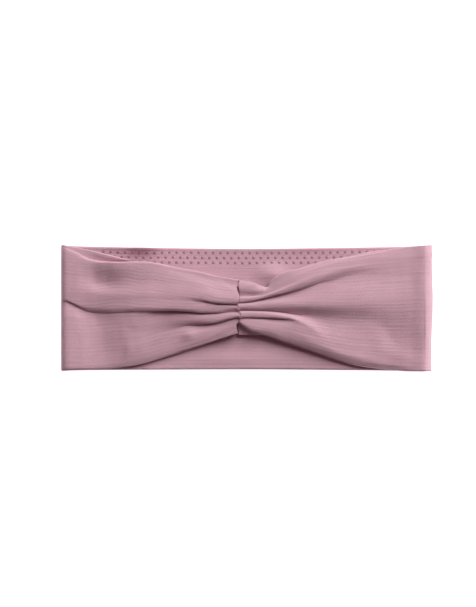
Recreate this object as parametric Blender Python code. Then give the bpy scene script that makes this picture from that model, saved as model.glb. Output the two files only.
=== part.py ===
"""A wide two-ply fabric sports headband with a gathered front, lying flat on its back.

The band is a closed loop. Flattened, it turns at two side folds, so a front half lies over a back half.
Each half has an outer ply and a lining ply, sewn together along the top and bottom edges.
The front is drawn together at one short upright seam, and silicone grip dots line the inside of the back.

+X runs along the band, +Y towards its top edge, +Z out of its front. The origin is under its middle.
The front half lifts along +Z as the loop opens for a head.
"""

import math

import bmesh
import bpy
from mathutils import Vector

# Driving dimensions, in metres.
FLAT_LENGTH = 0.240  # side fold to side fold
BAND_HEIGHT = 0.082  # top edge to bottom edge, along a side fold
CLOTH = 0.0006  # one ply
PLY_GAP = 0.0009  # between the plies of a half, where the seam allowance and its thread lie
LOOP_GAP = 0.0054  # between the two linings
PART_GAP = 0.0003  # between pieces that touch
SEAM_X = -0.0047  # where the gathered seam lies along the band
SEAM_HALF_GAP = 0.0006  # from the seam's line to the cloth on each side
GATHER_TOP = 0.0182
GATHER_BOTTOM = -0.0172
BACK_TOP_DIP = 0.0020  # how far the back's top edge dips at mid-length
BACK_BOTTOM_DIP = 0.0010
PLEAT_HEIGHT = 0.0040  # how far a pleat stands above the cloth at the seam
SEAM_RISE = 0.0006  # how far the outer ply is lifted over the stay elastic
SEAM_RISE_FROM = 0.70  # share of the way from side fold to seam where that lift starts
SEAM_RISE_TO = 0.95  # and where it is whole
PLEAT_UNDERSIDE = 0.75  # share of the pleats' height that the ply's inner face follows

# Frame worked out from them.
HALF_LENGTH = FLAT_LENGTH / 2
HALF_HEIGHT = BAND_HEIGHT / 2
HALF_STACK = 2 * CLOTH + PLY_GAP
FOLD_RADIUS = HALF_STACK + LOOP_GAP / 2
MID_Z = FOLD_RADIUS
FOLD_X = HALF_LENGTH - FOLD_RADIUS  # where the side fold's round starts
LINING_DEPTH = CLOTH + PLY_GAP  # from a half's outside to its lining's outside

# Edges of the gathered front, as (x, y) points from a side fold to the seam.
FRONT_TOP_LEFT = (
    (-0.120, 0.0410), (-0.108, 0.0395), (-0.092, 0.0360), (-0.072, 0.0305),
    (-0.046, 0.0262), (-0.025, 0.0220), (-0.010, 0.0184), (SEAM_X, GATHER_TOP),
)
FRONT_BOTTOM_LEFT = (
    (-0.120, -0.0410), (-0.095, -0.0398), (-0.076, -0.0375), (-0.056, -0.0325),
    (-0.036, -0.0265), (-0.018, -0.0205), (-0.009, -0.0175), (SEAM_X, GATHER_BOTTOM),
)
FRONT_TOP_RIGHT = (
    (SEAM_X, GATHER_TOP), (0.005, 0.0176), (0.012, 0.0162), (0.022, 0.0218),
    (0.048, 0.0298), (0.074, 0.0352), (0.100, 0.0390), (0.120, 0.0410),
)
FRONT_BOTTOM_RIGHT = (
    (SEAM_X, GATHER_BOTTOM), (0.010, -0.0180), (0.028, -0.0236), (0.048, -0.0300),
    (0.067, -0.0362), (0.080, -0.0388), (0.100, -0.0405), (0.120, -0.0410),
)

# Valleys between the pleats, as heights from -1 at the bottom edge to 1 at the top edge.
PLEAT_VALLEYS = (-1.0, -0.41, -0.14, 0.14, 1.0)
COLUMNS_PER_PLEAT = (7, 4, 4, 8)

# Silicone grip strip inside the back, below its top edge.
GRIP_HALF_LENGTH = 0.095
GRIP_PITCH = 0.00475
GRIP_ROW_STEP = 0.0033
GRIP_FIRST_ROW = 0.0031  # from the top edge to the first row's middle
GRIP_ROWS = 3
GRIP_FILM = 0.00015
GRIP_DOT_RADIUS = 0.00095
GRIP_DOT_HEIGHT = 0.00035
GRIP_DOT_TAPER = 0.8
DOT_CORNERS = 6  # as many as a cell of the film has

# Thread and elastic.
EDGE_THREAD_RADIUS = 0.00015
EDGE_THREAD_INSET = 0.0015
GATHER_THREAD_RADIUS = 0.0002
STITCHES = 16
STITCH_WAVE = 0.0004
STITCH_REACH = 0.95  # share of the seam's height that is stitched
STITCH_DEPTH_SHARE = 0.9
ELASTIC_HALF_WIDTH = 0.0040
ELASTIC_THICKNESS = 0.0008
ELASTIC_INSET = 0.0008

# How finely the cloth is divided.
FOLD_STEPS = 6
BACK_STEPS = 16
FRONT_STEPS = 16
SHARP_ANGLE = math.radians(40)


def clear_scene():
    for obj in list(bpy.data.objects):
        bpy.data.objects.remove(obj)


def material(name, colour, roughness):
    made = bpy.data.materials.new(name)
    made.use_nodes = True
    shader = made.node_tree.nodes["Principled BSDF"]
    shader.inputs["Base Color"].default_value = (*colour, 1.0)
    shader.inputs["Roughness"].default_value = roughness
    shader.inputs["Metallic"].default_value = 0.0
    return made


def half_empty(name):
    """The empty that one half of the loop hangs from, on the line that the front lifts along."""
    empty = bpy.data.objects.new(name, None)
    empty.location = (0.0, 0.0, MID_Z)
    bpy.context.scene.collection.objects.link(empty)
    return empty


def place(obj, parent, surface):
    bpy.context.scene.collection.objects.link(obj)
    obj.data.materials.append(surface)
    obj.parent = parent
    obj.location = -parent.location
    return obj


def curve_through(points, x):
    """The height at x of a smooth curve through points, which run from low x to high x."""
    last = len(points) - 1
    i = 0
    while i < last - 1 and x > points[i + 1][0]:
        i += 1
    x0, y0 = points[i]
    x1, y1 = points[i + 1]

    def slope(k):
        before, after = points[max(k - 1, 0)], points[min(k + 1, last)]
        return (after[1] - before[1]) / (after[0] - before[0])

    span = x1 - x0
    t = min(max((x - x0) / span, 0.0), 1.0)
    rise = y0 * (2 * t**3 - 3 * t**2 + 1) + y1 * (3 * t**2 - 2 * t**3)
    return rise + span * (slope(i) * (t**3 - 2 * t**2 + t) + slope(i + 1) * (t**3 - t**2))


def smooth_step(t):
    t = min(max(t, 0.0), 1.0)
    return t * t * (3 - 2 * t)


def shell_object(name, outside, inside):
    """A closed sheet between two grids of points with the same rows and columns."""
    mesh = bmesh.new()
    rows, columns = len(outside), len(outside[0])
    grids = [[[mesh.verts.new(p) for p in row] for row in grid] for grid in (outside, inside)]
    for grid in grids:
        for i in range(rows - 1):
            for j in range(columns - 1):
                mesh.faces.new((grid[i][j], grid[i + 1][j], grid[i + 1][j + 1], grid[i][j + 1]))
    rim = [(i, 0) for i in range(rows)]
    rim += [(rows - 1, j) for j in range(1, columns)]
    rim += [(i, columns - 1) for i in range(rows - 2, -1, -1)]
    rim += [(0, j) for j in range(columns - 2, 0, -1)]
    for (i, j), (k, m) in zip(rim, rim[1:] + rim[:1]):
        mesh.faces.new((grids[0][i][j], grids[0][k][m], grids[1][k][m], grids[1][i][j]))
    bmesh.ops.recalc_face_normals(mesh, faces=mesh.faces)
    data = bpy.data.meshes.new(name)
    mesh.to_mesh(data)
    mesh.free()
    data.shade_smooth()
    data.set_sharp_from_angle(angle=SHARP_ANGLE)
    return bpy.data.objects.new(name, data)


def tube_object(name, points, radius):
    """A round thread along points."""
    curve = bpy.data.curves.new(name, "CURVE")
    curve.dimensions = "3D"
    curve.bevel_depth = radius
    curve.bevel_resolution = 1
    curve.use_fill_caps = True
    line = curve.splines.new("POLY")
    line.points.add(len(points) - 1)
    for made, point in zip(line.points, points):
        made.co = (*point, 1.0)
    return bpy.data.objects.new(name, curve)


def fold_arc(depth):
    """(x, z) points of a right-hand side fold's lower quarter, from its middle down to the flat."""
    radius = FOLD_RADIUS - depth
    points = [(FOLD_X + radius, MID_Z - PART_GAP / 2)]
    for step in range(1, FOLD_STEPS + 1):
        turn = math.radians(90.0 * step / FOLD_STEPS)
        points.append((FOLD_X + radius * math.cos(turn), MID_Z - radius * math.sin(turn)))
    return points


def back_edge(x, top):
    dip = 1 - min(abs(x) / HALF_LENGTH, 1.0) ** 2
    return HALF_HEIGHT - BACK_TOP_DIP * dip if top else BACK_BOTTOM_DIP * dip - HALF_HEIGHT


def back_profile(depth):
    """(x, z) points round the back half, from the left fold's middle to the right fold's middle."""
    right = fold_arc(depth)
    left = [(-x, z) for x, z in right]
    flat = [(FOLD_X * (2 * i / BACK_STEPS - 1), depth) for i in range(1, BACK_STEPS)]
    return left + flat + right[::-1]


def back_ply(name, depth):
    grids = [
        [[Vector((x, back_edge(x, top), z)) for top in (False, True)] for x, z in back_profile(d)]
        for d in (depth, depth + CLOTH)
    ]
    return shell_object(name, *grids)


class FrontSide:
    """The left or right part of the gathered front, from its side fold to the seam."""

    def __init__(self, side):
        self.side = side  # -1 left, 1 right
        self.top = FRONT_TOP_LEFT if side < 0 else FRONT_TOP_RIGHT
        self.bottom = FRONT_BOTTOM_LEFT if side < 0 else FRONT_BOTTOM_RIGHT
        self.fold_x = side * FOLD_X
        self.end_x = SEAM_X + side * SEAM_HALF_GAP

    def share(self, x):
        """0 at the side fold, 1 at the seam."""
        return min(max((x - self.fold_x) / (self.end_x - self.fold_x), 0.0), 1.0)

    def height(self, x, v):
        """y at v, which runs from -1 at the bottom edge to 1 at the top edge."""
        top, bottom = curve_through(self.top, x), curve_through(self.bottom, x)
        return (top + bottom) / 2 + v * (top - bottom) / 2

    def lift(self, x, v):
        """How far a pleat stands above the flat cloth."""
        for low, high in zip(PLEAT_VALLEYS, PLEAT_VALLEYS[1:]):
            if v <= high:
                break
        wave = math.sin(math.pi * (v - low) / (high - low))
        return PLEAT_HEIGHT * smooth_step(self.share(x)) * wave

    def rise(self, x):
        way = (self.share(x) - SEAM_RISE_FROM) / (SEAM_RISE_TO - SEAM_RISE_FROM)
        return SEAM_RISE * smooth_step(way)

    def flat_stations(self):
        return [
            self.fold_x + (self.end_x - self.fold_x) * i / FRONT_STEPS
            for i in range(1, FRONT_STEPS + 1)
        ]

    def surface(self, depth, columns, pleat_share):
        """A grid of points, at that depth under the front's outside face."""
        rows = [
            [Vector((self.side * x, self.height(self.side * x, v), 2 * MID_Z - z)) for v in columns]
            for x, z in fold_arc(depth)
        ]
        for x in self.flat_stations():
            level = 2 * MID_Z - depth + (self.rise(x) if pleat_share else 0.0)
            rows.append(
                [Vector((x, self.height(x, v), level + pleat_share * self.lift(x, v))) for v in columns]
            )
        return rows

    def edge_line(self, v, inset, depth):
        """Points just inside the top or bottom edge, between the plies."""
        line = []
        for x, z in fold_arc(depth)[1:]:
            line.append(Vector((self.side * x, self.height(self.side * x, v) - v * inset, 2 * MID_Z - z)))
        for x in self.flat_stations()[:-1]:
            line.append(Vector((x, self.height(x, v) - v * inset, 2 * MID_Z - depth)))
        return line


def pleat_columns():
    columns = [PLEAT_VALLEYS[0]]
    for low, high, count in zip(PLEAT_VALLEYS, PLEAT_VALLEYS[1:], COLUMNS_PER_PLEAT):
        columns += [low + (high - low) * k / count for k in range(1, count + 1)]
    return columns


def outer_front(name, part):
    columns = pleat_columns()
    return shell_object(
        name, part.surface(0.0, columns, 1.0), part.surface(CLOTH, columns, PLEAT_UNDERSIDE)
    )


def lining_front(name, part):
    columns = (-1.0, 0.0, 1.0)
    return shell_object(
        name,
        part.surface(LINING_DEPTH, columns, 0.0),
        part.surface(LINING_DEPTH + CLOTH, columns, 0.0),
    )


def back_edge_line(top):
    """Points just inside the back's top or bottom edge, between its plies."""
    depth = CLOTH + PLY_GAP / 2
    inset = EDGE_THREAD_INSET if top else -EDGE_THREAD_INSET
    return [Vector((x, back_edge(x, top) - inset, z)) for x, z in back_profile(depth)[1:-1]]


def grip_strip(name):
    """A thin silicone film with staggered rows of round dots standing on it."""
    film_top = HALF_STACK + PART_GAP + GRIP_FILM
    half_pitch = GRIP_PITCH / 2
    across = int(2 * GRIP_HALF_LENGTH / GRIP_PITCH)
    mesh = bmesh.new()
    made = {}

    def point(column, row_line):
        x = (column - across) * half_pitch
        y = back_edge(x, True) - GRIP_FIRST_ROW + GRIP_ROW_STEP * (0.5 - row_line)
        return Vector((x, y, film_top))

    def corner(column, row_line):
        if (column, row_line) not in made:
            made[column, row_line] = mesh.verts.new(point(column, row_line))
        return made[column, row_line]

    def add_dot_cell(column, row):
        """A cell two half pitches wide: its six corners, the dot's foot, its side and its top."""
        corners = [corner(column + k, row) for k in (2, 1, 0)]
        corners += [corner(column + k, row + 1) for k in (0, 1, 2)]
        middle = (point(column + 1, row) + point(column + 1, row + 1)) / 2
        foot, crown = [], []
        for k in range(DOT_CORNERS):
            turn = math.radians(360 * (k + 0.5) / DOT_CORNERS)
            spoke = Vector((math.cos(turn), math.sin(turn), 0.0)) * GRIP_DOT_RADIUS
            foot.append(mesh.verts.new(middle + spoke))
            crown.append(mesh.verts.new(middle + spoke * GRIP_DOT_TAPER + Vector((0, 0, GRIP_DOT_HEIGHT))))
        for low, high in ((corners, foot), (foot, crown)):
            for k in range(DOT_CORNERS):
                n = (k + 1) % DOT_CORNERS
                mesh.faces.new((low[k], low[n], high[n], high[k]))
        mesh.faces.new(crown)

    for row in range(GRIP_ROWS):
        staggered = row % 2
        for k in range(across - staggered):
            add_dot_cell(2 * k + staggered, row)
        if staggered:
            for column in (0, 2 * across - 1):
                mesh.faces.new(
                    [corner(column + i, row + j) for i, j in ((0, 0), (0, 1), (1, 1), (1, 0))]
                )
    border = [edge for edge in mesh.edges if edge.is_boundary]
    grown = bmesh.ops.extrude_edge_only(mesh, edges=border)["geom"]
    lower = [part for part in grown if isinstance(part, bmesh.types.BMVert)]
    bmesh.ops.translate(mesh, verts=lower, vec=(0, 0, -GRIP_FILM))
    bmesh.ops.holes_fill(mesh, edges=[edge for edge in mesh.edges if edge.is_boundary])
    bmesh.ops.recalc_face_normals(mesh, faces=mesh.faces)
    data = bpy.data.meshes.new(name)
    mesh.to_mesh(data)
    mesh.free()
    return bpy.data.objects.new(name, data)


def stay_elastic(name):
    """The short strip of elastic that holds the gathered seam to its height."""
    low = 2 * MID_Z - LINING_DEPTH + PART_GAP
    mesh = bmesh.new()
    bmesh.ops.create_cube(mesh, size=1.0)
    height = GATHER_TOP - GATHER_BOTTOM - 2 * ELASTIC_INSET
    bmesh.ops.scale(mesh, verts=mesh.verts, vec=(2 * ELASTIC_HALF_WIDTH, height, ELASTIC_THICKNESS))
    middle = (SEAM_X, (GATHER_TOP + GATHER_BOTTOM) / 2, low + ELASTIC_THICKNESS / 2)
    bmesh.ops.translate(mesh, verts=mesh.verts, vec=middle)
    bmesh.ops.bevel(
        mesh, geom=mesh.edges, offset=ELASTIC_THICKNESS / 4, segments=1, affect="EDGES"
    )
    data = bpy.data.meshes.new(name)
    mesh.to_mesh(data)
    mesh.free()
    return bpy.data.objects.new(name, data)


def gather_thread_line(part):
    """A running stitch up the seam, between the two sides' ends."""
    steps = 4 * STITCHES
    line = []
    for step in range(steps + 1):
        v = STITCH_REACH * (2 * step / steps - 1)
        level = 2 * MID_Z + part.rise(part.end_x) + STITCH_DEPTH_SHARE * part.lift(part.end_x, v)
        wave = STITCH_WAVE * math.sin(math.pi * step / 2)
        line.append(Vector((SEAM_X, part.height(part.end_x, v), level + wave)))
    return line


def main():
    clear_scene()
    shell_cloth = material("shell_cloth", (0.50, 0.29, 0.34), 0.75)
    lining_cloth = material("lining_cloth", (0.48, 0.27, 0.32), 0.80)
    silicone = material("silicone", (0.30, 0.12, 0.15), 0.45)
    thread = material("thread", (0.42, 0.22, 0.27), 0.60)
    elastic = material("elastic", (0.60, 0.45, 0.48), 0.70)

    back = half_empty("back_half")
    place(back_ply("outer_back", 0.0), back, shell_cloth)
    place(back_ply("lining_back", LINING_DEPTH), back, lining_cloth)
    place(grip_strip("grip_strip"), back, silicone)
    for name, top in (("edge_thread_back_top", True), ("edge_thread_back_bottom", False)):
        place(tube_object(name, back_edge_line(top), EDGE_THREAD_RADIUS), back, thread)

    front = half_empty("front_half")
    sides = {"left": FrontSide(-1), "right": FrontSide(1)}
    for name, part in sides.items():
        place(outer_front("outer_front_" + name, part), front, shell_cloth)
        place(lining_front("lining_front_" + name, part), front, lining_cloth)
        for edge, v in (("top", 1), ("bottom", -1)):
            line = part.edge_line(v, EDGE_THREAD_INSET, CLOTH + PLY_GAP / 2)
            label = f"edge_thread_front_{name}_{edge}"
            place(tube_object(label, line, EDGE_THREAD_RADIUS), front, thread)
    place(stay_elastic("gather_stay_elastic"), front, elastic)
    stitches = tube_object("gather_thread", gather_thread_line(sides["left"]), GATHER_THREAD_RADIUS)
    place(stitches, front, thread)


main()
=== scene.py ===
import math
from collections import namedtuple

import bpy
import numpy as np
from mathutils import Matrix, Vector, noise


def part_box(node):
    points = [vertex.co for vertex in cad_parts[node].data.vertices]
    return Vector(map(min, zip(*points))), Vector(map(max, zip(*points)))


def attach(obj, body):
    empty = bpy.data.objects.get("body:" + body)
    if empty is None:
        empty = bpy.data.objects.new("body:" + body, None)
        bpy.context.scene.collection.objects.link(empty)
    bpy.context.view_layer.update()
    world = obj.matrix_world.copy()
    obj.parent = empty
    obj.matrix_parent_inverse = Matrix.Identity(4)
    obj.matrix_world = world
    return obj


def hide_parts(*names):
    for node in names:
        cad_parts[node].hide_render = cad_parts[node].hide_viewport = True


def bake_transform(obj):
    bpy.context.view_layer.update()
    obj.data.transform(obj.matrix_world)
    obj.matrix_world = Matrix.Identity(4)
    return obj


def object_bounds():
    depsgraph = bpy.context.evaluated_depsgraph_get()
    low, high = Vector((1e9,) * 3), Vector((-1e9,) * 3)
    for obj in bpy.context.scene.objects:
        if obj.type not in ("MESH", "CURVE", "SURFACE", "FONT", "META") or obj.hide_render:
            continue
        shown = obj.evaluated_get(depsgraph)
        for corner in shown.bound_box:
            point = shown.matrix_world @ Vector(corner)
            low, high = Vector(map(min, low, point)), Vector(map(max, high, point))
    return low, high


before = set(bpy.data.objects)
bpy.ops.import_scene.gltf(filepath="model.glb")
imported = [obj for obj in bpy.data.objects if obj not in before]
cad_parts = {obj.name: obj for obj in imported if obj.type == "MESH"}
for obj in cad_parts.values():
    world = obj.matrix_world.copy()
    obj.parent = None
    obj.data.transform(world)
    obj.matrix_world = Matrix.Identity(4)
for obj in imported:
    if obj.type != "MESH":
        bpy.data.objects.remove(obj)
cad_low, cad_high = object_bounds()

# Lengths are in millimetres until a mesh is made.
MM = 0.001

# Taken from the frame.
FOLD_HALF_GAP = 0.15  # from the upper end of the back's outer ply to the middle of a side fold
elastic_low, elastic_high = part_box("gather_stay_elastic")
MID_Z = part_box("outer_back")[1].z / MM + FOLD_HALF_GAP  # where the front and back halves meet in a side fold
HALF_LENGTH = cad_high.x / MM
HALF_HEIGHT = cad_high.y / MM
SEAM_X = (elastic_low.x + elastic_high.x) / 2 / MM
FOLD_X = HALF_LENGTH - MID_Z  # where a side fold's round starts

# The cloth.
CLOTH = 0.6
HALF_STACK = 2.1  # from a half's outside face to its lining's inside face
HEM_TURN = 1.3  # how far the outer ply is turned under at the edges
HEM_DEPTH = 1.05

# Side folds.
FOLD_STEPS = 14
FOLD_TURN = np.linspace(0, math.pi / 2, FOLD_STEPS + 1)[:-1]  # angles from the middle level to the face
FOLD_SHARPNESS = {-1: 2.1, 1: 1.45}  # for each side: 2 is a round fold, 1 is a flat bevel

# How finely the cloth is divided.
STATION_STEP = 1.0
BACK_STEP = 2.0


def curve(points, at):
    """Values at `at` of a smooth curve through (position, value) points, which never overshoots them."""
    at = np.asarray(at, float)
    if len(points) == 1:
        return np.full(at.shape, float(points[0][1]))
    x, y = np.array(points, float).T
    slope = np.diff(y) / np.diff(x)
    turn = slope[:-1] * slope[1:]
    inner = np.where(turn > 0, 2 * turn / np.where(turn > 0, slope[:-1] + slope[1:], 1.0), 0.0)
    tangent = np.concatenate(([slope[0]], inner, [slope[-1]]))
    at = np.clip(at, x[0], x[-1])
    i = np.clip(np.searchsorted(x, at, side="right") - 1, 0, len(slope) - 1)
    span = x[i + 1] - x[i]
    t = (at - x[i]) / span
    rest = y[i] * (1 + 2 * t) * (1 - t) ** 2 + y[i + 1] * t**2 * (3 - 2 * t)
    return rest + span * (tangent[i] * t * (1 - t) ** 2 - tangent[i + 1] * t**2 * (1 - t))


def smooth_step(t):
    t = np.clip(t, 0.0, 1.0)
    return t * t * (3 - 2 * t)


def shifted(points, dy):
    return tuple((x, y + dy) for x, y in points)


# A line that the cloth's outside runs through, along the band from one side fold to the seam.
# path is (x, y) points; height is (x, height over the flat face) points; above and below say how sharply
# the cloth turns at the line on its upper and lower side, from 0, soft, to 1, a crease, as (x, share) points;
# steps is how many strips of cloth lie between it and the next line down.
Line = namedtuple("Line", "path height above below steps")
SOFT = ((0, 0.0),)
HARD = ((0, 1.0),)


def line(path, height, above=SOFT, below=SOFT, steps=8):
    return Line(path, height, above, below, steps)


# ---------------------------------------------------------------- left front
LEFT_TOP_HEM = (
    (-120, 41.0), (-114, 39.8), (-103, 37.8), (-92.5, 35.3), (-82, 32.6), (-75.5, 30.9), (-72, 29.4),
    (-60, 26.6), (-40, 22.5), (-20, 17.6), (-4, 15.2),
)
LEFT_BOTTOM_HEM = (
    (-120, -40.6), (-95, -39.8), (-82, -38.5), (-70, -36.7), (-56, -32.8), (-36, -26.6), (-22, -21.9),
    (-14, -17.8), (-4, -14.5),
)
LEFT_LINES = (
    line(shifted(LEFT_TOP_HEM, -HEM_TURN), ((0, -2.1),), steps=4),
    line(LEFT_TOP_HEM, ((-110, -0.6), (-92, 0.0), (-76, 0.0), (-66, -1.6)), HARD, HARD, 4),
    line(  # crown of the strip above the wedge
        ((-120, 40.2), (-103, 36.8), (-92.5, 34.4), (-82, 32.0), (-75.5, 30.6), (-72, 29.2), (-60, 26.4),
         (-40, 22.3), (-20, 17.5), (-4, 15.3)),
        ((-120, 0.0), (-105, 0.4), (-92, 0.9), (-82, 0.9), (-75, 0.6), (-66, -0.9), (-4, -1.2)), steps=6,
    ),
    line(  # wedge valley
        ((-120, 39.4), (-110, 36.0), (-101.6, 31.8), (-92.5, 30.3), (-82, 30.0), (-75.5, 30.1), (-72, 29.3),
         (-60, 27.3), (-40, 23.3), (-20, 18.5), (-4, 16.2)),
        ((-120, 0.0), (-116, 0.5), (-106, 0.6), (-98, -0.1), (-92, -0.7), (-82, -0.9), (-66, -0.9),
         (-4, -0.9)),
        ((-100, 0.2), (-80, 0.5)), ((-104, 0.2), (-90, 0.7)), 6,
    ),
    line(  # rolled edge
        ((-120, 38.6), (-110, 35.4), (-101.6, 31.2), (-92.5, 29.9), (-82, 29.6), (-75.5, 29.9), (-72, 29.9),
         (-66, 30.0), (-59, 29.2), (-46, 26.4), (-30, 23.4), (-17, 20.2), (-4, 18.2)),
        ((-120, 0.0), (-116, 0.8), (-106, 1.0), (-98, 1.2), (-91, 2.8), (-84, 4.7), (-75, 5.8), (-62, 5.6),
         (-46, 4.2), (-30, 3.1), (-17, 2.4), (-4, 2.0)),
        ((-100, 0.0), (-88, 1.0)), ((-100, 0.0), (-88, 1.0)), 6,
    ),
    line(  # crown of the rolled edge
        ((-120, 36), (-110, 33.2), (-101.6, 29.6), (-92.5, 28.8), (-82, 28.4), (-72, 28.0), (-60, 26.6),
         (-40, 22.8), (-20, 18.0), (-4, 15.4)),
        ((-120, 0.0), (-117, 1.1), (-108, 1.3), (-101, 1.4), (-92, 3.4), (-84, 5.6), (-75, 6.7), (-62, 6.3),
         (-46, 4.9), (-30, 3.7), (-17, 2.9), (-4, 2.4)),
        steps=8,
    ),
    line(  # hollow under it
        ((-120, 24), (-110, 20), (-101, 17.5), (-92.5, 16), (-72, 15.5), (-56, 16.5), (-36, 15),
         (-20, 12.5), (-4, 10.8)),
        ((-120, 0.0), (-117, 1.3), (-110, 1.3), (-104, 0.9), (-98, 0.5), (-92, 1.2), (-86, 2.8), (-80, 4.3),
         (-72, 5.2), (-62, 5.7), (-46, 5.6), (-30, 5.2), (-17, 4.7), (-4, 4.3)),
        steps=8,
    ),
    line(  # upper lobe
        ((-120, 12), (-104, 9.5), (-92, 8.5), (-62, 8), (-44, 7.8), (-33, 6.8), (-24, 5.9), (-17, 5.3),
         (-4, 5.1)),
        ((-120, 0.0), (-117, 1.3), (-110, 1.6), (-105, 1.8), (-99, 2.4), (-92, 3.4), (-86, 4.4), (-80, 5.3),
         (-72, 6.1), (-62, 6.5), (-46, 6.4), (-30, 6.3), (-18, 6.5), (-4, 6.0)),
        steps=12,
    ),
    line(  # valley over ridge A
        ((-120, 9), (-110, 7), (-95, 5), (-62, 5), (-40, 4.8), (-32, 4.2), (-28, 4.0), (-23.6, 3.5),
         (-20, 2.7), (-13.8, 2.3), (-9, 2.1), (-4, 2.0)),
        ((-120, 0.0), (-117, 1.2), (-110, 1.5), (-105, 1.7), (-99, 2.3), (-92, 3.2), (-86, 4.2), (-80, 5.0),
         (-72, 6.0), (-62, 6.4), (-46, 6.2), (-38, 5.8), (-33, 5.2), (-29, 4.6), (-24, 2.6), (-18, 0.6),
         (-4, 0.5)),
        ((-32, 0.2), (-24, 1.0)), ((-32, 0.2), (-24, 1.0)), 8,
    ),
    line(  # ridge A
        ((-120, 7.2), (-110, 3.2), (-101.6, 0.8), (-95, 0.2), (-82, 0.4), (-62, 0.9), (-43, 1.2),
         (-34, 0.4), (-28, 0.1), (-17, -0.3), (-4, 0.3)),
        ((-120, 0.0), (-117, 1.0), (-110, 1.3), (-104, 1.5), (-98, 2.0), (-92, 2.8), (-86, 3.8), (-80, 4.8),
         (-72, 6.1), (-62, 6.6), (-46, 6.3), (-38, 5.7), (-30, 5.3), (-4, 4.6)),
        steps=8,
    ),
    line(  # main valley
        ((-120, 5.0), (-114.6, 3.7), (-108, 0.2), (-101.6, -2.6), (-95, -3.3), (-88, -3.3), (-82, -3.0),
         (-75, -2.5), (-62, -2.1), (-50, -1.8), (-43, -2.1), (-36, -2.7), (-28, -3.6), (-17, -3.2),
         (-9.3, -2.4), (-4, -2.0)),
        ((-120, 0.0), (-113, -0.2), (-104, -0.2), (-98, -0.3), (-92, 0.6), (-86, 2.0), (-80, 3.0),
         (-73, 3.7), (-67, 3.7), (-60, 2.6), (-52, 1.3), (-45, 0.7), (-38, 0.8), (-28, 1.3), (-21, 2.2),
         (-15, 3.3), (-10, 3.0), (-4, 1.6)),
        ((-112, 0.8), (-100, 0.5), (-70, 0.7), (-55, 1.0), (-20, 1.0), (-13, 0.3)),
        ((-112, 0.15), (-95, 0.0), (-60, 0.1), (-40, 0.8), (-22, 0.8), (-15, 0.1)), 8,
    ),
    line(  # ridge B
        ((-120, -4), (-108, -8), (-92, -10), (-72, -9.0), (-56, -7.7), (-30, -6.9), (-17, -6.0), (-9, -4.5),
         (-4, -4.1)),
        ((-120, 0.0), (-117, 1.1), (-111, 1.1), (-106, 0.7), (-102, 0.2), (-97, 0.0), (-92, 0.6),
         (-88, 1.3), (-83, 2.4), (-78, 3.3), (-72, 3.9), (-66, 3.7), (-59, 3.0), (-50, 2.4), (-43, 2.7),
         (-25, 4.0), (-4, 4.4)),
        steps=8,
    ),
    line(  # valley under ridge B
        ((-120, -12), (-100, -14), (-75, -14.5), (-66, -15.5), (-56, -15.2), (-48, -13.7), (-43, -12.4),
         (-38, -11.4), (-30, -10.9), (-23.6, -10.4), (-19, -9.8), (-15.8, -8.9), (-11, -7.3), (-7, -6.4),
         (-4, -6.2)),
        ((-120, 0.0), (-117, 1.3), (-109, 1.2), (-104, 0.7), (-100, 0.3), (-95, 0.3), (-90, 1.0),
         (-84, 2.2), (-78, 3.3), (-71, 3.5), (-62, 2.5), (-52, 1.3), (-43, 0.9), (-36, 0.7), (-27, 0.3),
         (-15, 0.1), (-9, 0.8), (-4, 1.0)),
        ((-50, 0.2), (-25, 1.0)), ((-50, 0.1), (-25, 0.4), (-8, 0.8)), 10,
    ),
    line(  # lower lobe
        ((-120, -22), (-100, -24), (-72, -23), (-56, -21), (-36, -17.5), (-23, -15.6), (-13.8, -13.4),
         (-7, -11.2), (-4, -10.6)),
        ((-120, 0.0), (-117, 1.4), (-107, 1.2), (-100, 0.6), (-94, 0.4), (-89, 1.0), (-84, 2.0), (-80, 2.8),
         (-76, 3.5), (-70, 3.3), (-62, 2.2), (-56, 1.6), (-50, 1.4), (-43, 1.6), (-36, 2.0), (-23, 2.4),
         (-4, 2.8)),
        steps=12,
    ),
    line(  # brink of the lower lobe
        ((-120, -39.4), (-95, -38.6), (-82, -37.3), (-70, -35.5), (-56, -31.6), (-36, -25.6), (-22, -21.4),
         (-14, -19.0), (-4, -16.0)),
        ((-120, 0.0), (-117, 0.6), (-95, 0.5), (-62, 0.5), (-36, 1.1), (-22, 1.5), (-12, 1.7), (-4, 1.5)),
        ((-24, 0.0), (-12, 1.0)), ((-24, 0.0), (-12, 1.0)), 4,
    ),
    line(  # tuck under the brink, by the seam
        ((-120, -39.9), (-95, -39.1), (-82, -37.8), (-70, -36.0), (-56, -32.1), (-36, -26.0), (-22, -21.6),
         (-14, -18.2), (-4, -15.0)),
        ((-120, -0.1), (-22, 0.1), (-12, -0.6), (-4, -1.0)), steps=4,
    ),
    line(LEFT_BOTTOM_HEM, ((-22, -HEM_DEPTH), (-12, -1.7)), HARD, HARD, 4),
    line(shifted(LEFT_BOTTOM_HEM, HEM_TURN), ((0, -2.1),)),
)

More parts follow.
